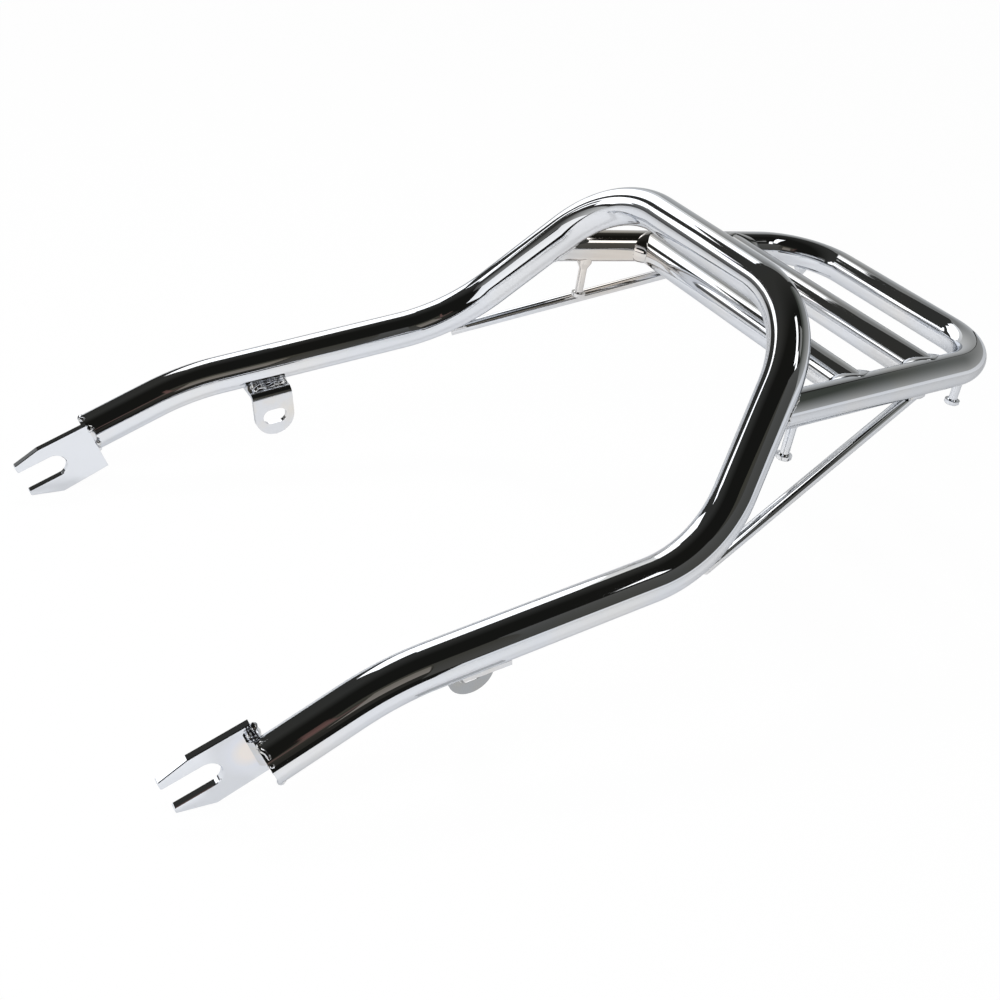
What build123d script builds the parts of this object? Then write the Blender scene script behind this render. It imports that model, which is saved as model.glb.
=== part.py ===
from build123d import *
import os
from math import atan2, cos, radians, sin

# Motorcycle luggage rack: a bent grab rail that carries a tubular luggage deck.
# The origin is midway between the two fork slots, on the axis of the damper bolts.
# X points to the left of the motorcycle, Y to the rear and Z up. The deck is level.

# Tube and rod stock
rail_diameter = 25.4
rail_wall = 1.6
deck_diameter = 22.2
deck_wall = 1.6
strut_diameter = 8.0

# Grab rail, left half: half width, distance behind the slots and height above them
end_half_width = 170.6
leg_toe_in = 3.2
riser_toe_in = 8.8
end_back = 25.1
end_height = 12.2
leg_back = 90.0
leg_height = 44.9
riser_back = 286.4
riser_height = 80.7
top_half_width = 102.7
top_back = 370.7
top_height = 198.0
leg_bend_radius = 160.0
riser_bend_radius = 92.0
top_bend_radius = 74.0

# Luggage deck: a hoop that starts on the risers, with two cross bars
deck_height = 148.4
deck_rear_half_width = 98.3
deck_rear = 550.2
deck_bend_radius = 49.0
bar_diameter = 21.9
front_bar_setback = 78.85
rear_bar_from_rear = 67.5

# Struts between the foot of the risers and the underside of the deck
strut_foot_along_rail = 268.0
strut_foot_bite = 1.0
strut_tail = 2.0
strut_head_before_bar = 10.0
strut_head_reach = 16.0

# Fork plates that slip over the upper bolts of the dampers
fork_thickness = 4.5
fork_slot_width = 15.8
fork_top = 17.1
fork_bottom = 20.3
fork_bottom_rear = 18.5
fork_slope = 24.8
fork_lap = 2.2
fork_reach = 22.4
upper_prong_tip = 5.5
lower_prong_tip = 3.9
upper_bevel_length = 18.0
lower_bevel_length = 19.5
fork_seat = 0.25
fork_edge = 0.4
prong_corner = 1.0

# Bent mounting tabs under the legs
tab_back = 143.4
tab_width = 28.5
tab_thickness = 3.2
tab_bend_radius = 2.0
tab_offset = 16.6
tab_flange_outboard = 5.5
tab_slot_drop = 19.6
tab_slot_length = 17.0
tab_slot_width = 11.0
tab_seat = 0.25

# Hook studs under the deck
stud_diameter = 5.8
stud_length = 26.0
stud_head_diameter = 10.0
stud_head_height = 2.8
stud_head_edge = 0.6
stud_collar_diameter = 10.6
stud_collar_height = 4.5
front_stud_setback = 29.45
front_stud_inset = 3.5
rear_stud_turn = 43.0

# Weld metal at the lapped joints
fork_weld_half_height = 9.6
fork_weld_throat = 5.0
fork_weld_toe = 3.6
tab_weld_half_width = 8.6
tab_weld_root = 3.0
tab_weld_throat = 3.4
weld_edge = 2.2

rail_radius = rail_diameter / 2
deck_radius = deck_diameter / 2
strut_radius = strut_diameter / 2

os.makedirs("parts", exist_ok=True)


def finish(piece, name):
    piece.part.label = name
    export_step(piece.part, f"parts/{name}.step")


def finish_pair(left, name):
    finish(left, f"left_{name}")
    with BuildPart() as right:
        mirror(left.part, about=Plane.YZ)
    finish(right, f"right_{name}")


def mirrored(point):
    return Vector(-point.X, point.Y, point.Z)


def between(start, stop, share):
    return start + (stop - start) * share


def swept(path, outer_radius, inner_radius=0.0):
    with BuildPart() as tube:
        with BuildSketch(Plane(origin=path @ 0, z_dir=path % 0)):
            Circle(outer_radius)
            if inner_radius:
                Circle(inner_radius, mode=Mode.SUBTRACT)
        sweep(path=path)
    return tube


# Grab rail: one tube from the left fork plate over the top bar to the right fork plate
rail_end = Vector(end_half_width, end_back, end_height)
leg_corner = Vector(end_half_width - leg_toe_in, leg_back, leg_height)
riser_corner = Vector(end_half_width - riser_toe_in, riser_back, riser_height)
top_corner = Vector(top_half_width, top_back, top_height)
rail_left = [rail_end, leg_corner, riser_corner, top_corner]
rail_right = [mirrored(point) for point in reversed(rail_left)]
rail_radii = [leg_bend_radius, riser_bend_radius, top_bend_radius]

with BuildLine() as rail_line:
    FilletPolyline(*rail_left, *rail_right, radius=rail_radii + rail_radii[::-1])
rail_path = rail_line.wires()[0]
rail_body = swept(rail_path, rail_radius)
grab_rail = swept(rail_path, rail_radius, rail_radius - rail_wall)
finish(grab_rail, "grab_rail")

# Deck hoop: its ends are shaped to the risers they are welded to
deck_start = between(
    riser_corner, top_corner, (deck_height - riser_height) / (top_height - riser_height)
)
deck_corner = Vector(deck_rear_half_width, deck_rear, deck_height)
front_bar_back = deck_start.Y + front_bar_setback
rear_bar_back = deck_rear - rear_bar_from_rear


def deck_at(back):
    share = (back - deck_start.Y) / (deck_corner.Y - deck_start.Y)
    return between(deck_start, deck_corner, share)


with BuildLine() as deck_line:
    FilletPolyline(
        deck_start, deck_corner, mirrored(deck_corner), mirrored(deck_start), radius=deck_bend_radius
    )
deck_path = deck_line.wires()[0]
deck_body = swept(deck_path, deck_radius)
with BuildPart() as deck_hoop:
    add(swept(deck_path, deck_radius, deck_radius - deck_wall).part)
    add(rail_body.part, mode=Mode.SUBTRACT)
finish(deck_hoop, "deck_hoop")

# Cross bars between the two sides of the hoop, with ends shaped to its tube
def bar_line(back):
    with BuildLine() as line:
        Line(deck_at(back), mirrored(deck_at(back)))
    return line.wires()[0]


for name, back in (("front_cross_bar", front_bar_back), ("rear_cross_bar", rear_bar_back)):
    with BuildPart() as cross_bar:
        add(swept(bar_line(back), bar_diameter / 2, bar_diameter / 2 - deck_wall).part)
        add(deck_body.part, mode=Mode.SUBTRACT)
    finish(cross_bar, name)
rear_bar_body = swept(bar_line(rear_bar_back), bar_diameter / 2)

# Struts: the foot lies under the riser bend, turned a third of the way to its outside
foot_centre = rail_path.position_at(strut_foot_along_rail, position_mode=PositionMode.LENGTH)
turn_before = rail_path.tangent_at(strut_foot_along_rail - 1, position_mode=PositionMode.LENGTH)
turn_after = rail_path.tangent_at(strut_foot_along_rail + 1, position_mode=PositionMode.LENGTH)
foot_outside = (turn_before - turn_after).normalized()
foot_tangent = (turn_before + turn_after).normalized()
foot_below = (foot_tangent * foot_tangent.Z - Vector(0, 0, 1)).normalized()
foot_side = (foot_below * 2 + foot_outside).normalized()
strut_foot = foot_centre + foot_side * (rail_radius + strut_radius - strut_foot_bite)
strut_head = deck_at(rear_bar_back - strut_head_before_bar) - Vector(0, 0, deck_radius)
strut_run = strut_head - strut_foot
strut_direction = strut_run.normalized()
with BuildPart() as strut:
    with BuildSketch(Plane(origin=strut_foot - strut_direction * strut_tail, z_dir=strut_direction)):
        Circle(strut_radius)
    extrude(amount=strut_tail + strut_run.length + strut_head_reach)
    for body in (rail_body, deck_body, rear_bar_body):
        add(body.part, mode=Mode.SUBTRACT)
finish_pair(strut, "strut")

# Fork plates: flat plates in front of the legs, seated on their inner sides
front_along = Vector(0, cos(radians(fork_slope)), sin(radians(fork_slope)))
front_up = Vector(0, -front_along.Z, front_along.Y)
fork_face = end_half_width - rail_radius + fork_seat
rail_end_along = rail_end.dot(front_along)
rail_end_up = rail_end.dot(front_up)
fork_rear = rail_end_along + fork_lap
slot_radius = fork_slot_width / 2
fork_plane = Plane(
    origin=(fork_face - fork_thickness, 0, 0), x_dir=front_along, z_dir=(1, 0, 0)
)
with BuildPart() as fork_plate:
    with BuildSketch(fork_plane) as fork_sketch:
        with BuildLine():
            Polyline(
                (fork_rear, fork_top),
                (upper_bevel_length - fork_reach, fork_top),
                (-fork_reach, slot_radius + upper_prong_tip),
                (-fork_reach, -slot_radius - lower_prong_tip),
                (lower_bevel_length - fork_reach, -fork_bottom),
                (fork_rear, -fork_bottom_rear),
                close=True,
            )
        make_face()
        Circle(slot_radius, mode=Mode.SUBTRACT)
        with Locations((-fork_reach / 2, 0)):
            Rectangle(fork_reach, fork_slot_width, mode=Mode.SUBTRACT)
        tips = fork_sketch.vertices().filter_by(lambda v: abs(v.X + fork_reach) < prong_corner)
        fillet(tips, radius=prong_corner)
    extrude(amount=fork_thickness)
    chamfer(faces().sort_by(Axis.X)[0].edges() + faces().sort_by(Axis.X)[-1].edges(), length=fork_edge)
    add(rail_body.part, mode=Mode.SUBTRACT)
finish_pair(fork_plate, "fork_plate")

# Fork welds: metal that fills the corner between the end of each leg and its fork plate
weld_plane = Plane(origin=(fork_face, 0, 0), x_dir=front_along, z_dir=(1, 0, 0))
weld_front = rail_end_along - fork_weld_toe
with BuildPart() as fork_weld:
    with BuildSketch(weld_plane):
        with Locations(((weld_front + fork_rear) / 2, rail_end_up)):
            Rectangle(fork_rear - weld_front, 2 * fork_weld_half_height)
    extrude(amount=fork_weld_throat)
    outer_edges = faces().sort_by(Axis.X)[-1].edges()
    chamfer(min(outer_edges, key=lambda edge: edge.center().dot(front_along)), length=weld_edge)
    add(rail_body.part, mode=Mode.SUBTRACT)
    add(fork_plate.part, mode=Mode.SUBTRACT)
finish_pair(fork_weld, "fork_weld")

# Mounting tabs: strips bent down from a flange that lies under the leg
leg_share = (tab_back - leg_back) / (riser_back - leg_back)
tab_centre = between(leg_corner, riser_corner, leg_share)
leg_slope = atan2(riser_height - leg_height, riser_back - leg_back)
leg_along = Vector(0, cos(leg_slope), sin(leg_slope))
tab_profile_plane = Plane(origin=tab_centre, x_dir=(1, 0, 0), z_dir=-leg_along)
with BuildLine() as leg_line:
    Line(leg_corner, riser_corner)
leg_body = swept(leg_line.wires()[0], rail_radius)
flange_top = -rail_radius + tab_seat
flange_middle = flange_top - tab_thickness / 2
tab_bottom = flange_top - tab_slot_drop - tab_width / 2
with BuildPart() as mounting_tab:
    with BuildSketch(tab_profile_plane):
        with BuildLine():
            FilletPolyline(
                (tab_flange_outboard, flange_middle),
                (-tab_offset, flange_middle),
                (-tab_offset, tab_bottom),
                radius=tab_bend_radius + tab_thickness / 2,
            )
        trace(line_width=tab_thickness)
    extrude(amount=tab_width / 2, both=True)
    tab_face_plane = Plane(
        origin=tab_centre + tab_profile_plane.y_dir * (flange_top - tab_slot_drop),
        x_dir=leg_along,
        z_dir=(1, 0, 0),
    )
    with BuildSketch(tab_face_plane):
        with Locations((0, -tab_width / 2)):
            Rectangle(tab_width, tab_width)
        Circle(tab_width / 2, mode=Mode.SUBTRACT)
    extrude(amount=tab_offset + tab_thickness, both=True, mode=Mode.SUBTRACT)
    with BuildSketch(tab_face_plane):
        SlotOverall(tab_slot_length, tab_slot_width)
    extrude(amount=tab_offset + tab_thickness, both=True, mode=Mode.SUBTRACT)
    add(leg_body.part, mode=Mode.SUBTRACT)
finish_pair(mounting_tab, "mounting_tab")

# Tab welds: metal along the inner corner between each flange and the leg above it
flange_plane = Plane(
    origin=tab_centre + tab_profile_plane.y_dir * flange_top,
    x_dir=(1, 0, 0),
    z_dir=tab_profile_plane.y_dir,
)
with BuildPart() as tab_weld:
    with BuildSketch(flange_plane):
        with Locations((-(tab_weld_half_width + tab_weld_root) / 2, 0)):
            Rectangle(tab_weld_half_width - tab_weld_root, tab_width)
    extrude(amount=tab_weld_throat)
    add(leg_body.part, mode=Mode.SUBTRACT)
    add(mounting_tab.part, mode=Mode.SUBTRACT)
finish_pair(tab_weld, "tab_weld")

# Hook studs: turned pins with a head, welded to the underside of the hoop
corner_turn = (deck_corner - deck_start).get_angle(Vector(-1, 0, 0))
corner_length = deck_bend_radius * radians(rear_stud_turn)
straight_length = (deck_corner - deck_start).length - deck_bend_radius * sin(
    radians(corner_turn) / 2
) / cos(radians(corner_turn) / 2)
rear_stud_place = deck_path.position_at(
    straight_length + corner_length, position_mode=PositionMode.LENGTH
)
for name, place in (
    ("front_hook_stud", deck_at(deck_start.Y + front_stud_setback) - Vector(front_stud_inset, 0, 0)),
    ("rear_hook_stud", rear_stud_place),
):
    stud_plane = Plane(
        origin=place - Vector(0, 0, deck_radius), x_dir=(1, 0, 0), z_dir=(0, -1, 0)
    )
    with BuildPart() as hook_stud:
        with BuildSketch(stud_plane):
            with BuildLine():
                Polyline(
                    (0, deck_radius),
                    (stud_collar_diameter / 2, deck_radius),
                    (stud_collar_diameter / 2, 0),
                    (stud_diameter / 2, -stud_collar_height),
                    (stud_diameter / 2, stud_head_height - stud_length),
                    (stud_head_diameter / 2, stud_head_height - stud_length),
                    (stud_head_diameter / 2, -stud_length),
                    (0, -stud_length),
                    close=True,
                )
            make_face()
        revolve(axis=Axis(stud_plane.origin, (0, 0, 1)))
        head_rims = edges().filter_by(GeomType.CIRCLE).sort_by(Axis.Z)[:2]
        chamfer(head_rims, length=stud_head_edge)
        add(deck_body.part, mode=Mode.SUBTRACT)
    finish_pair(hook_stud, name)
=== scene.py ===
import math
import bmesh
import bpy
from mathutils import Matrix, Vector


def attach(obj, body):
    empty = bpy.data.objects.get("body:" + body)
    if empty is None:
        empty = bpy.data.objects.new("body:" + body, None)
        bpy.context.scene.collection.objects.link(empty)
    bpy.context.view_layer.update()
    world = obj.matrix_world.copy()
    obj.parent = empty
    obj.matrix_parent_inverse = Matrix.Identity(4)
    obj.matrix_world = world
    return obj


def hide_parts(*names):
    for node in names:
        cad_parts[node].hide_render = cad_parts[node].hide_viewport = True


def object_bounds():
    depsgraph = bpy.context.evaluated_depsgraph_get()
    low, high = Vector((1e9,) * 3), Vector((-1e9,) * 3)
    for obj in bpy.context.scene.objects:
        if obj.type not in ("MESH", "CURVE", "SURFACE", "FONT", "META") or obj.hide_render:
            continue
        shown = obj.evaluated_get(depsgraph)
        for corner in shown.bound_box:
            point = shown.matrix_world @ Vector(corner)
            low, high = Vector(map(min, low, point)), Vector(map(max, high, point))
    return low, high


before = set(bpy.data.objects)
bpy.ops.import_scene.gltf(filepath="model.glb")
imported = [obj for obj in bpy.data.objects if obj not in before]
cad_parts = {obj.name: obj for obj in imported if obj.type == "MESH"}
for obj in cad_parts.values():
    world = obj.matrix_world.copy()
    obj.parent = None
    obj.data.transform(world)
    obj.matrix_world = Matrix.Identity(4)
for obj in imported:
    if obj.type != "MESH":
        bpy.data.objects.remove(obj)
cadBox = [list(map(float, corner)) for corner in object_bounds()]
print("frame loaded:", len(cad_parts), "nodes")


def linear(hexColour):
    channels = [int(hexColour[i:i + 2], 16) / 255 for i in (1, 3, 5)]
    return [c / 12.92 if c <= 0.04045 else ((c + 0.055) / 1.055) ** 2.4 for c in channels] + [1.0]


def addNode(tree, kind, settings=None, links=None):
    node = tree.nodes.new(kind)
    for key, value in (settings or {}).items():
        if isinstance(key, int) or key in node.inputs:
            node.inputs[key].default_value = value
        else:
            setattr(node, key, value)
    for key, source in (links or {}).items():
        tree.links.new(source, node.inputs[key])
    return node


def newMaterial(name):
    material = bpy.data.materials.new(name)
    material.use_nodes = True
    material.node_tree.nodes.clear()
    return material, material.node_tree


def setRamp(ramp, stops):
    elements = ramp.color_ramp.elements
    while len(elements) < len(stops):
        elements.new(0.5)
    for element, (place, colour) in zip(elements, stops):
        element.position = place
        element.color = colour


# Bright chrome plate on polished steel tube: mirror bright, faintly blue, with a trace of polishing waves
chromePlate = {
    "colour": "#dfe2e7",
    "warmPatch": "#e4e3e1",
    "edgeTint": "#d8dadd",  # the mirror dims towards its rim
    "roughness": (0.022, 0.05),
    "patchSize": 0.060,     # cloudy patches in the plate, m
    "patchStops": (0.42, 0.78),
    "glossStops": (0.3, 0.7),
    "waveSize": 0.014,      # long polishing ripple, m
    "waveDepth": 0.00002,
    "waveStrength": 0.3,
    "shearDepth": 0.0,
    "strawCentre": (-0.130, 0.385, 0.142),   # a faint straw tint on the deck's far front: a painted reflection of cream surfaces near the rack
    "strawReach": 0.075,
    "strawStops": (0.30, 0.62),  # straw, then its rim, as shares of the reach
    "strawFade": 0.6,
    "straw": "#e3dcd4",
    "rimTint": "#dfe0e2",
}

# The same plate on punched strip: cut edges keep fine shear marks across the thickness, and one plate has a
# straw patch with a blue rim beside its weld
stripPlate = dict(chromePlate, colour="#e2e5ea", warmPatch="#e0e3e8", patchSize=0.030,
                  shearSize=0.0011, shearDepth=0.00003, shearStrength=0.6, shearStretch=0.06, edgeTurn=0.3,
                  strawCentre=(0.160, 0.0215, 0.0110), strawReach=0.018, straw="#f5efea", rimTint="#e8ebf2")

# Plate on the bent tabs: the polishing wheel reaches them less, so they are a little greyer and softer
tabPlate = dict(chromePlate, colour="#dadce0", warmPatch="#dedbd6", roughness=(0.05, 0.10),
                patchSize=0.012)

# Plated weld metal: as bright as the tube but lumpy, so it breaks the reflections into specks
weldPlate = dict(chromePlate, colour="#dcdee2", warmPatch="#dbd8d2", roughness=(0.03, 0.08),
                 patchSize=0.006, waveSize=0.0024, waveDepth=0.00030)


def makeChrome(name, look):
    material, tree = newMaterial(name)
    place = addNode(tree, "ShaderNodeTexCoord").outputs["Object"]
    patches = addNode(tree, "ShaderNodeTexNoise", {"Scale": 1 / look["patchSize"], "Detail": 3.0},
                      {"Vector": place})
    tint = addNode(tree, "ShaderNodeValToRGB", links={"Fac": patches.outputs["Fac"]})
    setRamp(tint, list(zip(look["patchStops"], (linear(look["colour"]), linear(look["warmPatch"])))))
    gloss = addNode(tree, "ShaderNodeMapRange",
                    {"From Min": look["glossStops"][0], "From Max": look["glossStops"][1],
                     "To Min": look["roughness"][0], "To Max": look["roughness"][1]},
                    {"Value": patches.outputs["Fac"]})
    waves = addNode(tree, "ShaderNodeTexNoise", {"Scale": 1 / look["waveSize"], "Detail": 2.0},
                    {"Vector": place})
    bump = addNode(tree, "ShaderNodeBump", {"Strength": look["waveStrength"], "Distance": look["waveDepth"]},
                   {"Height": waves.outputs["Fac"]})
    if look["shearDepth"]:
        bump = addShearMarks(tree, place, look, bump.outputs["Normal"])
    # the straw patch; on the deck's far front it is a painted reflection
    colour = addStrawTint(tree, place, look, tint.outputs["Color"])
    shader = addNode(tree, "ShaderNodeBsdfPrincipled",
                     {"Metallic": 1.0, "Specular Tint": linear(look["edgeTint"])},
                     {"Base Color": colour, "Roughness": gloss.outputs["Result"],
                      "Normal": bump.outputs["Normal"]})
    addNode(tree, "ShaderNodeOutputMaterial", links={"Surface": shader.outputs["BSDF"]})
    return material


# Marks run through the strip's thickness, so only faces that look away from X show them
def addShearMarks(tree, place, look, smoothNormal):
    facing = addNode(tree, "ShaderNodeSeparateXYZ",
                     links={"Vector": addNode(tree, "ShaderNodeNewGeometry").outputs["True Normal"]})
    sideways = addNode(tree, "ShaderNodeMath", {"operation": "ABSOLUTE"}, {0: facing.outputs["X"]})
    onEdge = addNode(tree, "ShaderNodeMath", {"operation": "LESS_THAN", 1: look["edgeTurn"]},
                     {0: sideways.outputs[0]})
    stretched = addNode(tree, "ShaderNodeMapping", {"Scale": (look["shearStretch"], 1.0, 1.0)},
                        {"Vector": place})
    marks = addNode(tree, "ShaderNodeTexNoise", {"Scale": 1 / look["shearSize"], "Detail": 2.0},
                    {"Vector": stretched.outputs["Vector"]})
    height = addNode(tree, "ShaderNodeMath", {"operation": "MULTIPLY"},
                     {0: marks.outputs["Fac"], 1: onEdge.outputs[0]})
    return addNode(tree, "ShaderNodeBump",
                   {"Strength": look["shearStrength"], "Distance": look["shearDepth"]},
                   {"Height": height.outputs[0], "Normal": smoothNormal})


# Straw next to a given centre, then its rim, then the plain plate, by distance from that centre; on the
# deck's far front this straw is a painted reflection
def addStrawTint(tree, place, look, plainColour):
    reach = addNode(tree, "ShaderNodeVectorMath", {"operation": "DISTANCE", 1: look["strawCentre"]},
                    {0: place})
    share = addNode(tree, "ShaderNodeMapRange", {"From Max": look["strawReach"]},
                    {"Value": reach.outputs["Value"]})
    hue = addNode(tree, "ShaderNodeValToRGB", links={"Fac": share.outputs["Result"]})
    setRamp(hue, list(zip(look["strawStops"], (linear(look["straw"]), linear(look["rimTint"])))))
    fade = addNode(tree, "ShaderNodeMapRange",
                   {"From Min": look["strawFade"], "From Max": 1.0, "To Min": 1.0, "To Max": 0.0},
                   {"Value": share.outputs["Result"]})
    mix = addNode(tree, "ShaderNodeMix", {"data_type": "RGBA"})
    tree.links.new(fade.outputs["Result"], mix.inputs["Factor"])
    tree.links.new(plainColour, mix.inputs[6])
    tree.links.new(hue.outputs["Color"], mix.inputs[7])
    return mix.outputs[2]


chrome = makeChrome("chromePlatedSteel", chromePlate)
chromeStrip = makeChrome("chromePlatedStrip", stripPlate)
chromeTab = makeChrome("chromePlatedTab", tabPlate)
weldMetal = makeChrome("platedWeldMetal", weldPlate)
finishes = {"weld": weldMetal, "plate": chromeStrip, "tab": chromeTab}
for nodeName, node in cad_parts.items():
    node.data.materials.clear()
    node.data.materials.append(finishes.get(nodeName.split("_")[-1], chrome))
print("chrome on", len(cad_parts), "nodes")

sharpAngle = math.radians(40)   # edges that turn more than this stay crisp


def addPiece(name, pieceBm, material):
    mesh = bpy.data.meshes.new(name)
    pieceBm.to_mesh(mesh)
    pieceBm.free()
    mesh.shade_smooth()
    mesh.set_sharp_from_angle(angle=sharpAngle)
    mesh.materials.append(material)
    piece = bpy.data.objects.new(name, mesh)
    bpy.context.scene.collection.objects.link(piece)
    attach(piece, "root")
    return piece


def flipped(points):
    return [Vector((-point.x, point.y, point.z)) for point in points]


def ringEdges(made):
    return list(dict.fromkeys(edge for vert in made["verts"] for edge in vert.link_edges))


# Grab rail, left half, repeated from the part, in metres; its finer bend steps keep mirror lines clean
rail = {
    "radius": 0.0127,
    "bore": 0.0111,
    "corners": [
        Vector((0.1706, 0.0251, 0.0122)),
        Vector((0.1674, 0.0900, 0.0449)),
        Vector((0.1618, 0.2864, 0.0807)),
        Vector((0.1027, 0.3707, 0.1980)),
    ],
    "bendRadii": [0.160, 0.092, 0.074],
    "sides": 72,
    "boreSides": 24,
    "degreesPerStep": 1.5,
}


def drawTube(name, corners, bendRadii, look):
    tubeBm = bmesh.new()
    along = (corners[1] - corners[0]).normalized()
    start = Matrix.Translation(corners[0]) @ along.to_track_quat("Z", "Y").to_matrix().to_4x4()
    rims = []
    for radius, sides in ((look["radius"], look["sides"]), (look["bore"], look["boreSides"])):
        made = bmesh.ops.create_circle(tubeBm, segments=sides, radius=radius, cap_ends=False, matrix=start)
        rims.append(ringEdges(made))
    edges = rims[0] + rims[1]
    at = corners[0]
    for place, corner in enumerate(corners[1:], 1):
        into = (corner - corners[place - 1]).normalized()
        last = place == len(corners) - 1
        if last:
            reach = corner
        else:
            out = (corners[place + 1] - corner).normalized()
            turn = into.angle(out)
            reach = corner - into * bendRadii[place - 1] * math.tan(turn / 2)
        drawn = bmesh.ops.extrude_edge_only(tubeBm, edges=edges)["geom"]
        drawnVerts = [g for g in drawn if isinstance(g, bmesh.types.BMVert)]
        bmesh.ops.translate(tubeBm, vec=reach - at, verts=drawnVerts)
        edges = [g for g in drawn if isinstance(g, bmesh.types.BMEdge) and len(g.link_faces) == 1]
        at = reach
        if not last:
            axis = into.cross(out).normalized()
            centre = reach + axis.cross(into) * bendRadii[place - 1]
            spun = bmesh.ops.spin(tubeBm, geom=edges, cent=centre, axis=axis, angle=turn,
                                  steps=math.ceil(math.degrees(turn) / look["degreesPerStep"]))["geom_last"]
            edges = [g for g in spun if isinstance(g, bmesh.types.BMEdge)]
            at = corner + out * bendRadii[place - 1] * math.tan(turn / 2)
    bmesh.ops.bridge_loops(tubeBm, edges=rims[0] + rims[1])
    bmesh.ops.bridge_loops(tubeBm, edges=edges)
    bmesh.ops.recalc_face_normals(tubeBm, faces=tubeBm.faces)
    return addPiece(name, tubeBm, chrome)


railCorners = rail["corners"] + flipped(reversed(rail["corners"]))
grabRail = drawTube("grabRailTube", railCorners, rail["bendRadii"] + rail["bendRadii"][::-1], rail)
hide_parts("grab_rail")
print("grab rail drawn:", len(grabRail.data.polygons), "faces")

# Deck tubes, left side, repeated from the part; the hoop starts inside the riser that it is welded to
deck = {
    "radius": 0.0111,
    "bore": 0.0095,
    "barRadius": 0.01095,
    "height": 0.1484,
    "rearCorner": Vector((0.0983, 0.5502, 0.1484)),
    "bendRadius": 0.049,
    "startInRiser": 0.004,
    "frontBarSetback": 0.07885,
    "rearBarFromRear": 0.0675,
    "riserBeadSink": 0.0008,
    "sides": 64,
    "boreSides": 24,
    "degreesPerStep": 2.0,
}
riserFoot, riserTop = rail["corners"][2], rail["corners"][3]
riserAlong = riserTop - riserFoot
deckStart = riserFoot + riserAlong * ((deck["height"] - riserFoot.z) / riserAlong.z)
deckAlong = deck["rearCorner"] - deckStart


def deckAt(back):
    return deckStart + deckAlong * ((back - deckStart.y) / deckAlong.y)


hoopHalf = [deckStart + deckAlong.normalized() * deck["startInRiser"], deck["rearCorner"]]
deckHoop = drawTube("deckHoopTube", hoopHalf + flipped(reversed(hoopHalf)), [deck["bendRadius"]] * 2, deck)
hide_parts("deck_hoop")
print("deck hoop drawn:", len(deckHoop.data.polygons), "faces")

# Weld beads, sizes in metres: thin at the risers and strut feet, full at the strut heads, flat at the cross
# bars, lumpy at the tabs and behind the fork plates, small at the plates' toes, rim round the rail's ends
beads = {
    "thin": {"radius": 0.0016, "pitch": 0.0024, "dip": 0.14, "drift": 0.08, "wander": 0.0001},
    "full": {"radius": 0.0042, "pitch": 0.0060, "dip": 0.03, "drift": 0.08, "wander": 0.0002},
    "flat": {"leg": 0.0070, "crown": 0.0005, "shrink": 0.7, "tuck": 0.35, "sides": 12},
    "lumpy": {"radius": 0.0023, "pitch": 0.0058, "dip": 0.30, "drift": 0.30, "wander": 0.0007},
    "small": {"radius": 0.0015, "pitch": 0.0042, "dip": 0.30, "drift": 0.30, "wander": 0.0005},
    "rim": {"radius": 0.0018, "pitch": 0.0042, "dip": 0.35, "drift": 0.35, "wander": 0.0006},
}
stepsPerRipple = 5
beadSides = 10
beadEndTaper = 0.35
meetingSteps = 72
# Slow waves of unlike length stand for an uneven hand: share, pace and start, then pace and start by axis
unevenHand = {
    "drift": ((0.6, 0.37, 0.0), (0.4, 0.83, 1.7)),
    "wander": ((0.61, 0.0), (0.47, 2.0), (0.71, 4.0)),
}


def evenly(points, spacing):
    lengths = [0.0]
    for before, after in zip(points, points[1:]):
        lengths.append(lengths[-1] + (after - before).length)
    count = max(4, round(lengths[-1] / spacing))
    path, span = [], 0
    for step in range(count + 1):
        target = lengths[-1] * step / count
        while span < len(points) - 2 and lengths[span + 1] < target:
            span += 1
        share = (target - lengths[span]) / (lengths[span + 1] - lengths[span])
        path.append(points[span].lerp(points[span + 1], share))
    return path


def layBead(name, points, look, closed=False):
    path = evenly(points, look["pitch"] / stepsPerRipple)
    if closed:
        path.pop()
    beadBm = bmesh.new()
    rings = []
    for place, point in enumerate(path):
        ahead = path[(place + 1) % len(path)] if closed else path[min(place + 1, len(path) - 1)]
        behind = path[place - 1] if closed else path[max(place - 1, 0)]
        ripple = abs(math.sin(math.pi * place / stepsPerRipple))
        waves = [share * math.sin(place * pace + start) for share, pace, start in unevenHand["drift"]]
        radius = look["radius"] * (1 - look["dip"] * (1 - ripple) + look["drift"] * sum(waves))
        if not closed and place in (0, len(path) - 1):
            radius *= beadEndTaper
        wander = Vector([math.sin(place * pace + start) for pace, start in unevenHand["wander"]])
        turn = (ahead - behind).to_track_quat("Z", "Y").to_matrix().to_4x4()
        made = bmesh.ops.create_circle(beadBm, segments=beadSides, radius=radius, cap_ends=False,
                                       matrix=Matrix.Translation(point + wander * look["wander"]) @ turn)
        rings.append(ringEdges(made))
    pairs = list(zip(rings, rings[1:])) + ([(rings[-1], rings[0])] if closed else [])
    for first, second in pairs:
        bmesh.ops.bridge_loops(beadBm, edges=first + second)
    if not closed:
        bmesh.ops.holes_fill(beadBm, edges=rings[0] + rings[-1])
    bmesh.ops.recalc_face_normals(beadBm, faces=beadBm.faces)
    return addPiece(name, beadBm, weldMetal)


def layPair(name, points, look, closed=False):
    layBead(f"left{name}", points, look, closed)
    layBead(f"right{name}", flipped(points), look, closed)


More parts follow.
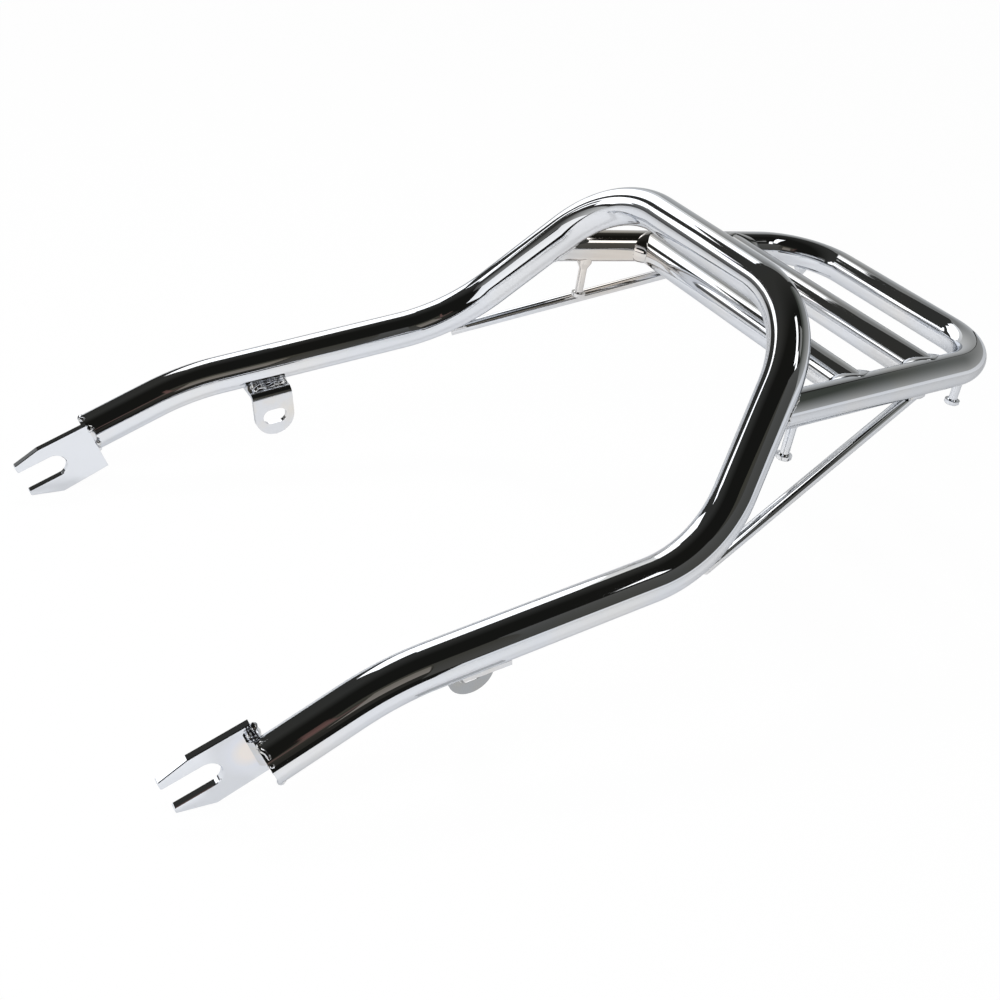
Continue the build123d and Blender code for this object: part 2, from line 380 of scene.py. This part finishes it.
# Where a branch tube leaves a main tube: the meeting line of the two, found on each ruling of the branch and
# sunk into both, so that only the crown of a bead on it shows
def meetingLine(mainPoint, mainAlong, mainRadius, branchPoint, branchAlong, branchRadius, sink,
                turns=(0, 360), top=None):
    mainAlong, branchAlong = mainAlong.normalized(), branchAlong.normalized()
    across = (top or branchAlong.orthogonal()).normalized()
    across = (across - branchAlong * across.dot(branchAlong)).normalized()
    upward = branchAlong.cross(across)
    flatAlong = branchAlong - mainAlong * branchAlong.dot(mainAlong)
    line = []
    for step in range(meetingSteps + 1):
        angle = math.radians(turns[0] + (turns[1] - turns[0]) * step / meetingSteps)
        ruling = across * math.cos(angle) + upward * math.sin(angle)
        base = branchPoint + ruling * branchRadius - mainPoint
        flatBase = base - mainAlong * base.dot(mainAlong)
        a = flatAlong.length_squared
        b = flatBase.dot(flatAlong)
        c = flatBase.length_squared - mainRadius ** 2
        run = (-b + math.sqrt(max(0.0, b * b - a * c))) / a
        meeting = base + branchAlong * run
        outward = (meeting - mainAlong * meeting.dot(mainAlong)) / mainRadius + ruling
        line.append(mainPoint + meeting - outward.normalized() * sink)
    return line


# A flat, smooth bead round a cross bar: each section reaches from a toe on the bar to a toe on the hoop
def layFillet(name, barEnd, inward, look):
    along = deckAlong.normalized() if inward.x < 0 else flipped([deckAlong.normalized()])[0]
    toes = []
    for meeting in meetingLine(barEnd, along, deck["radius"], barEnd, inward, deck["barRadius"], 0.0)[:-1]:
        offset = meeting - barEnd
        outOfHoop = (offset - along * offset.dot(along)).normalized()
        outOfBar = (offset - inward * offset.dot(inward)).normalized()
        leg = look["leg"] * (1 - look["shrink"] * outOfBar.dot(outOfHoop))
        slide = outOfBar - inward * look["tuck"]
        slide = (slide - outOfHoop * slide.dot(outOfHoop)).normalized()
        hoopToe = offset + slide * leg
        level = along * hoopToe.dot(along)
        hoopToe = level + (hoopToe - level).normalized() * deck["radius"]
        toes.append((barEnd + offset + inward * leg, barEnd + hoopToe))
    beadBm = bmesh.new()
    rings = []
    for place, (barToe, hoopToe) in enumerate(toes):
        ahead, behind = toes[(place + 1) % len(toes)], toes[place - 1]
        forward = (sum(ahead, Vector()) - sum(behind, Vector())).normalized()
        half = (barToe - hoopToe) / 2
        crown = forward.cross(half).normalized() * look["crown"]
        section = Matrix((crown, half, forward)).transposed().to_4x4()
        made = bmesh.ops.create_circle(beadBm, segments=look["sides"], radius=1.0, cap_ends=False,
                                       matrix=Matrix.Translation((barToe + hoopToe) / 2) @ section)
        rings.append(ringEdges(made))
    for first, second in zip(rings, rings[1:] + rings[:1]):
        bmesh.ops.bridge_loops(beadBm, edges=first + second)
    bmesh.ops.recalc_face_normals(beadBm, faces=beadBm.faces)
    return addPiece(name, beadBm, chrome)


# Struts, left side, repeated from the part
strut = {
    "radius": 0.0040,
    "headBeforeBar": 0.010,
    "foot": Vector((0.15957, 0.28834, 0.07244)),
    "footSide": Vector((0.0684, 0.5176, -0.8529)),      # from the rail's centre line to the strut's
    "headBeadSink": 0.0022,
    "headBeadTurns": (-100, 100),
    "footBeadSides": {"Inner": 0.0028, "Outer": -0.0028},
    "footBeadSink": 0.0026,
    "footBeadSpan": (-0.002, 0.010),
}
riserLine = meetingLine(riserFoot, riserAlong, rail["radius"], deckStart, deckAlong, deck["radius"],
                        deck["riserBeadSink"])
layPair("RiserBead", riserLine, beads["thin"], closed=True)
frontBarBack = deckStart.y + deck["frontBarSetback"]
rearBarBack = deck["rearCorner"].y - deck["rearBarFromRear"]
for barName, back in (("Front", frontBarBack), ("Rear", rearBarBack)):
    layFillet(f"left{barName}BarBead", deckAt(back), Vector((-1, 0, 0)), beads["flat"])
    layFillet(f"right{barName}BarBead", flipped([deckAt(back)])[0], Vector((1, 0, 0)), beads["flat"])

strutHead = deckAt(rearBarBack - strut["headBeforeBar"]) - Vector((0, 0, deck["radius"]))
strutAlong = (strutHead - strut["foot"]).normalized()
headLine = meetingLine(strutHead + Vector((0, 0, deck["radius"])), deckAlong, deck["radius"],
                       strutHead, -strutAlong, strut["radius"], strut["headBeadSink"],
                       turns=strut["headBeadTurns"], top=Vector((0, 0, 1)))
layPair("StrutHeadBead", headLine, beads["full"])
footSide = strut["footSide"]
footAcross = strutAlong.cross(footSide).normalized()
for rowName, sideways in strut["footBeadSides"].items():
    footMiddle = strut["foot"] - footSide * strut["footBeadSink"] + footAcross * sideways
    footLine = [footMiddle + strutAlong * reach for reach in strut["footBeadSpan"]]
    layPair(f"StrutFoot{rowName}Bead", footLine, beads["thin"])
print("tube joints welded")

# Fork plates and tabs, left side, repeated from the part
plates = {
    "slope": math.radians(24.8),
    "face": 0.15815,
    "railEndAlong": 0.0279,
    "railEndUp": 0.00055,
    "plateRear": 0.0301,
    "tabCentre": Vector((0.16588, 0.1434, 0.05463)),
    "legSlope": math.radians(10.33),
    "flangeTop": -0.01245,
    "tabRowHalf": 0.0125,
    "tabRows": {"Upper": {"inboard": 0.0072, "lift": 0.0026}, "Lower": {"inboard": 0.0104, "lift": 0.0008}},
    "rimInset": 0.0018,
    "rimSink": 0.0010,
    "rimSteps": 36,
}
forkAlong = Vector((0, math.cos(plates["slope"]), math.sin(plates["slope"])))
forkUp = Vector((0, -forkAlong.z, forkAlong.y))


def onFork(side, along, up):
    return Vector((side, 0, 0)) + forkAlong * along + forkUp * (plates["railEndUp"] + up)


forkRows = {
    "ForkToeBead": {"side": plates["face"] + 0.0010, "along": plates["railEndAlong"] - 0.0008,
                    "ends": (0.0140, -0.0110), "look": "small"},
    "ForkRearBead": {"side": plates["face"] - 0.0022, "along": plates["plateRear"] + 0.0008,
                     "ends": (0.0150, -0.0040), "look": "lumpy"},
}
for rowName, row in forkRows.items():
    rowLine = [onFork(row["side"], row["along"], end) for end in row["ends"]]
    layPair(rowName, rowLine, beads[row["look"]])
endAlong = (rail["corners"][1] - rail["corners"][0]).normalized()
endAcross = Vector((1, 0, 0)).cross(endAlong).normalized()
endOut = endAlong.cross(endAcross)
rimReach = beads["rim"]["radius"] * (1 + beads["rim"]["drift"]) + beads["rim"]["wander"]
endRim = []
for step in range(plates["rimSteps"] + 1):
    turn = math.radians(step * 360 / plates["rimSteps"])
    spot = rail["corners"][0] + endAlong * plates["rimInset"]
    spot += (endOut * math.cos(turn) + endAcross * math.sin(turn)) * (rail["radius"] - plates["rimSink"])
    spot.x = min(spot.x, cadBox[1][0] - rimReach)   # outboard it sinks in, to stay inside the part's box
    endRim.append(spot)
layPair("ForkRimBead", endRim, beads["rim"], closed=True)

legAlong = Vector((0, math.cos(plates["legSlope"]), math.sin(plates["legSlope"])))
legUp = Vector((0, -legAlong.z, legAlong.y))
for rowName, row in plates["tabRows"].items():
    rowMiddle = plates["tabCentre"] + legUp * (plates["flangeTop"] + row["lift"])
    rowMiddle -= Vector((row["inboard"], 0, 0))
    rowLine = [rowMiddle - legAlong * plates["tabRowHalf"], rowMiddle + legAlong * plates["tabRowHalf"]]
    layPair(f"Tab{rowName}Bead", rowLine, beads["lumpy"])
print("plates and tabs welded")

# Studio: a white sheet under the rack and a dark room with pale cards, which the plating mirrors
studio = {
    "sheetLow": (-0.335, -2.2),
    "sheetHigh": (4.0, 2.6),
    "sheetFacing": math.radians(146.38),    # its near edge lies square to the view, just below the picture
    "sheetDrop": 0.001,
    "paper": "#f4f4f5",
    "paperSeen": 0.98,      # shares of plain white in what the camera and the plating see of the sheet
    "paperMirrored": 0.4,
    "roomLight": 0.3,
    "domeRadius": 6.0,
    "domeLeft": "#2e2e2c",  # the room is a little paler to the left
    "domeRight": "#151513",
    "domeFade": (0.25, 0.48),
    "cardStrength": 1.3,
}


def addProp(name, propBm, material):
    mesh = bpy.data.meshes.new(name)
    propBm.to_mesh(mesh)
    propBm.free()
    mesh.materials.append(material)
    prop = bpy.data.objects.new(name, mesh)
    bpy.context.scene.collection.objects.link(prop)
    return prop


# Only the plating sees the room, so it neither shades nor lights the sheet
def seenInPlatingOnly(prop):
    prop.visible_camera = False
    prop.visible_diffuse = False
    prop.visible_shadow = False
    prop.visible_transmission = False


paper, tree = newMaterial("whitePaper")
rays = addNode(tree, "ShaderNodeLightPath")
indirect = addNode(tree, "ShaderNodeMath", {"operation": "ADD"},
                   {0: rays.outputs["Is Glossy Ray"], 1: rays.outputs["Is Transmission Ray"]})
mirrored = addNode(tree, "ShaderNodeMath", {"operation": "MULTIPLY", 1: studio["paperMirrored"]},
                   {0: indirect.outputs[0]})
seen = addNode(tree, "ShaderNodeMath", {"operation": "MULTIPLY_ADD", 1: studio["paperSeen"]},
               {0: rays.outputs["Is Camera Ray"], 2: mirrored.outputs[0]})
matt = addNode(tree, "ShaderNodeBsdfDiffuse", {"Color": linear(studio["paper"])})
glow = addNode(tree, "ShaderNodeEmission", {"Color": linear("#ffffff"), "Strength": 1.0})
mixed = addNode(tree, "ShaderNodeMixShader", links={"Fac": seen.outputs[0]})
tree.links.new(matt.outputs[0], mixed.inputs[1])
tree.links.new(glow.outputs[0], mixed.inputs[2])
addNode(tree, "ShaderNodeOutputMaterial", links={"Surface": mixed.outputs[0]})

sheetBm = bmesh.new()
bmesh.ops.create_grid(sheetBm, x_segments=1, y_segments=1, size=0.5)
low, high = studio["sheetLow"], studio["sheetHigh"]
bmesh.ops.scale(sheetBm, vec=(high[0] - low[0], high[1] - low[1], 1), verts=sheetBm.verts)
sheetMiddle = ((high[0] + low[0]) / 2, (high[1] + low[1]) / 2, cadBox[0][2] - studio["sheetDrop"])
bmesh.ops.translate(sheetBm, verts=sheetBm.verts, vec=sheetMiddle)
facingCos, facingSin = math.cos(studio["sheetFacing"]), math.sin(studio["sheetFacing"])
facing = Matrix(((facingCos, facingSin, 0), (facingSin, -facingCos, 0), (0, 0, 1)))
bmesh.ops.transform(sheetBm, matrix=facing.to_4x4(), verts=sheetBm.verts)
bmesh.ops.reverse_faces(sheetBm, faces=sheetBm.faces)
addProp("whiteSheet", sheetBm, paper)

world = bpy.data.worlds.new("paleRoom")
bpy.context.scene.world = world
world.use_nodes = True
tree = world.node_tree
tree.nodes.clear()
rays = addNode(tree, "ShaderNodeLightPath")
direct = addNode(tree, "ShaderNodeMath", {"operation": "MAXIMUM"},
                 {0: rays.outputs["Is Camera Ray"], 1: rays.outputs["Is Glossy Ray"]})
shown = addNode(tree, "ShaderNodeMath", {"operation": "MAXIMUM"},
                {0: direct.outputs[0], 1: rays.outputs["Is Transmission Ray"]})
level = addNode(tree, "ShaderNodeMapRange", {"To Min": studio["roomLight"], "To Max": 1.0},
                {"Value": shown.outputs[0]})
white = addNode(tree, "ShaderNodeBackground", {"Color": linear("#ffffff")},
                {"Strength": level.outputs["Result"]})
addNode(tree, "ShaderNodeOutputWorld", links={"Surface": white.outputs[0]})


# A card that glows from one shade to another, for most of them from its lower edge to its upper edge
def makeCard(name, low, high, strength, axis="Z", fade=(0.15, 0.85)):
    material, tree = newMaterial(name)
    spot = addNode(tree, "ShaderNodeTexCoord").outputs["Generated"]
    along = addNode(tree, "ShaderNodeSeparateXYZ", links={"Vector": spot})
    shade = addNode(tree, "ShaderNodeValToRGB", links={"Fac": along.outputs[axis]})
    setRamp(shade, [(fade[0], linear(low)), (fade[1], linear(high))])
    glow = addNode(tree, "ShaderNodeEmission", {"Strength": strength}, {"Color": shade.outputs["Color"]})
    addNode(tree, "ShaderNodeOutputMaterial", links={"Surface": glow.outputs[0]})
    return material


domeBm = bmesh.new()
bmesh.ops.create_uvsphere(domeBm, u_segments=48, v_segments=24, radius=studio["domeRadius"])
cloth = makeCard("blackCloth", studio["domeLeft"], studio["domeRight"], studio["cardStrength"], "X",
                 studio["domeFade"])
seenInPlatingOnly(addProp("darkRoom", domeBm, cloth))

# Cards stand on a plane x or y, or lie on a plane z; sizes in metres, lean shifts the upper edge sideways
lit = {"low": "#ffffff", "high": "#ffffff", "strength": 1.8}
cards = {
    "backCard": {"plane": "x", "at": -1.10, "across": (-0.065, 0.74), "height": (0.62, 1.22), **lit},
    "backTop": {"plane": "x", "at": -1.10, "across": (0.31, 0.74), "height": (1.22, 1.43), **lit},
    "backLow": {"plane": "x", "at": -1.10, "across": (0.33, 0.74), "height": (0.30, 0.62), **lit},
    "backFoot": {"plane": "x", "at": -1.10, "across": (0.33, 0.74), "height": (-0.02, 0.30),
                 "low": "#a4a4a4", "high": "#b4b4b4"},
    "backSlant": {"plane": "x", "at": -1.10, "across": (0.30, 0.70), "height": (0.22, 0.62),
                  "lean": -0.365, **lit},
    "backEdge": {"plane": "x", "at": -1.11, "across": (0.72, 0.97), "height": (-0.02, 1.40),
                 "low": "#c4c4c4", "high": "#dadad8"},
    "backGrey": {"plane": "x", "at": -1.12, "across": (0.95, 2.4), "height": (-0.02, 1.5),
                 "low": "#c8c8c6", "high": "#767674"},
    "leftCard": {"plane": "x", "at": -1.50, "across": (-0.86, -0.64), "height": (0.60, 1.20), **lit},
    "leftStep": {"plane": "x", "at": -1.50, "across": (-1.25, -0.86), "height": (0.55, 0.98), **lit},
    "leftWide": {"plane": "x", "at": -1.50, "across": (-2.2, -1.25), "height": (0.38, 0.95), **lit},
    "leftHigh": {"plane": "x", "at": -1.50, "across": (-1.55, -1.25), "height": (0.90, 1.16), **lit},
    "leftLow": {"plane": "x", "at": -1.51, "across": (-2.2, -0.64), "height": (0.10, 0.62),
                "low": "#505050", "high": "#6c6c6a"},
    "frontCard": {"plane": "y", "at": -1.00, "across": (-0.1, 1.2), "height": (-0.02, 0.55),
                  "low": "#f4f4f4", "high": "#e8e8e8"},
    "frontGrey": {"plane": "y", "at": -1.01, "across": (-0.62, -0.1), "height": (-0.02, 0.85),
                  "low": "#acacaa", "high": "#4c4c4a"},
    "rightShade": {"plane": "x", "at": 1.00, "across": (-0.3, 0.34), "height": (0.18, 1.05),
                   "low": "#282724", "high": "#3a3932"},
    "rightHalf": {"plane": "x", "at": 1.00, "across": (0.34, 0.48), "height": (0.14, 1.05),
                  "low": "#42413e", "high": "#3a3934"},
    "rightGrey": {"plane": "x", "at": 1.00, "across": (0.48, 1.5), "height": (0.10, 1.12),
                  "low": "#42423f", "high": "#4a4a48"},
    "rightBase": {"plane": "x", "at": 1.00, "across": (0.44, 1.5), "height": (-0.15, 0.10),
                  "low": "#d2d3d5", "high": "#d2d3d5"},
    "brownRail": {"plane": "x", "at": 0.97, "across": (-0.42, -0.05), "height": (0.55, 0.66),
                  "low": "#4e403d", "high": "#54443f"},
    "brownPost": {"plane": "x", "at": 0.99, "across": (-0.20, -0.14), "height": (0.64, 1.22), "lean": -0.28,
                  "low": "#604844", "high": "#4e3c38"},
    "oliveRail": {"plane": "x", "at": 0.97, "across": (-0.05, 0.32), "height": (0.40, 0.82),
                  "low": "#77716a", "high": "#68635b"},
    "rearCard": {"plane": "y", "at": 1.50, "across": (-0.50, 1.0), "height": (-0.02, 1.3),
                 "low": "#9c9c9a", "high": "#3a3d38"},
    "rearHigh": {"plane": "y", "at": 1.50, "across": (0.35, 1.0), "height": (1.28, 1.75),
                 "low": "#7c7c7a", "high": "#747472"},
    "rearBase": {"plane": "y", "at": 1.48, "across": (-0.50, 1.4), "height": (-0.02, 0.23),
                 "low": "#d4d5d7", "high": "#cccdcf"},
    "sideLamp": {"plane": "x", "at": 1.02, "across": (0.86, 1.06), "height": (1.05, 1.85),
                 "lean": 0.30, **lit},
    # the shade under the near leg, which its tab mirrors
    "tabShade": {"plane": "z", "at": -0.019, "across": (0.172, 0.203), "height": (0.135, 0.195),
                 "low": "#a8a9a9", "high": "#a8a9a9"},
    "overheadLamp": {"plane": "z", "at": 1.40, "across": (0.1, 1.0), "height": (0.74, 0.94), **lit},
}
planeTurns = {
    "x": Matrix(((0, 0, 1), (1, 0, 0), (0, 1, 0))),
    "y": Matrix(((1, 0, 0), (0, 0, 1), (0, 1, 0))),
    "z": Matrix.Identity(3),
}
for cardName, card in cards.items():
    width = card["across"][1] - card["across"][0]
    rise = card["height"][1] - card["height"][0]
    middle = sum(card["across"]) / 2
    level = sum(card["height"]) / 2
    cardBm = bmesh.new()
    bmesh.ops.create_grid(cardBm, x_segments=1, y_segments=1, size=0.5)
    bmesh.ops.scale(cardBm, vec=(width, rise, 1), verts=cardBm.verts)
    upperEdge = [vert for vert in cardBm.verts if vert.co.y > 0]
    bmesh.ops.translate(cardBm, vec=(card.get("lean", 0.0), 0, 0), verts=upperEdge)
    bmesh.ops.translate(cardBm, vec=(middle, level, card["at"]), verts=cardBm.verts)
    bmesh.ops.transform(cardBm, matrix=planeTurns[card["plane"]].to_4x4(), verts=cardBm.verts)
    material = makeCard(cardName, card["low"], card["high"], card.get("strength", studio["cardStrength"]))
    seenInPlatingOnly(addProp(cardName, cardBm, material))
print("studio cards:", len(cards))

lamps = {
    "back": {"place": (-0.60, 0.20, 1.30), "size": 0.3, "watts": 8},
    "front": {"place": (0.30, -0.25, 0.90), "size": 0.5, "watts": 6},
}
lampAim = Vector((0, 0.25, 0.05))
for lampName, lamp in lamps.items():
    light = bpy.data.lights.new(lampName, "AREA")
    light.size = lamp["size"]
    light.energy = lamp["watts"]
    lampObject = bpy.data.objects.new(lampName, light)
    lampObject.location = lamp["place"]
    aim = lampAim - lampObject.location
    lampObject.rotation_euler = aim.to_track_quat("-Z", "Y").to_euler()
    lampObject.visible_glossy = False
    bpy.context.scene.collection.objects.link(lampObject)
print("studio set up")

# Camera: placed by matching tube edges and bolt slots in the photograph
view = {
    "place": (0.65320, -0.18582, 0.48929),
    "right": (0.47284, 0.86863, 0.14802),
    "up": (-0.51136, 0.13370, 0.84891),
    "back": (0.71759, -0.47709, 0.50739),
    "lens": 50.14,
    "sensor": 36,
    "nearClip": 0.01,
}
cameraData = bpy.data.cameras.new("camera")
cameraData.lens = view["lens"]
cameraData.sensor_width = view["sensor"]
cameraData.sensor_fit = "AUTO"
cameraData.clip_start = view["nearClip"]
camera = bpy.data.objects.new("camera", cameraData)
turned = Matrix((view["right"], view["up"], view["back"])).transposed().to_4x4()
camera.matrix_world = Matrix.Translation(view["place"]) @ turned
bpy.context.scene.collection.objects.link(camera)
bpy.context.scene.camera = camera

bpy.context.scene.view_settings.view_transform = "Standard"
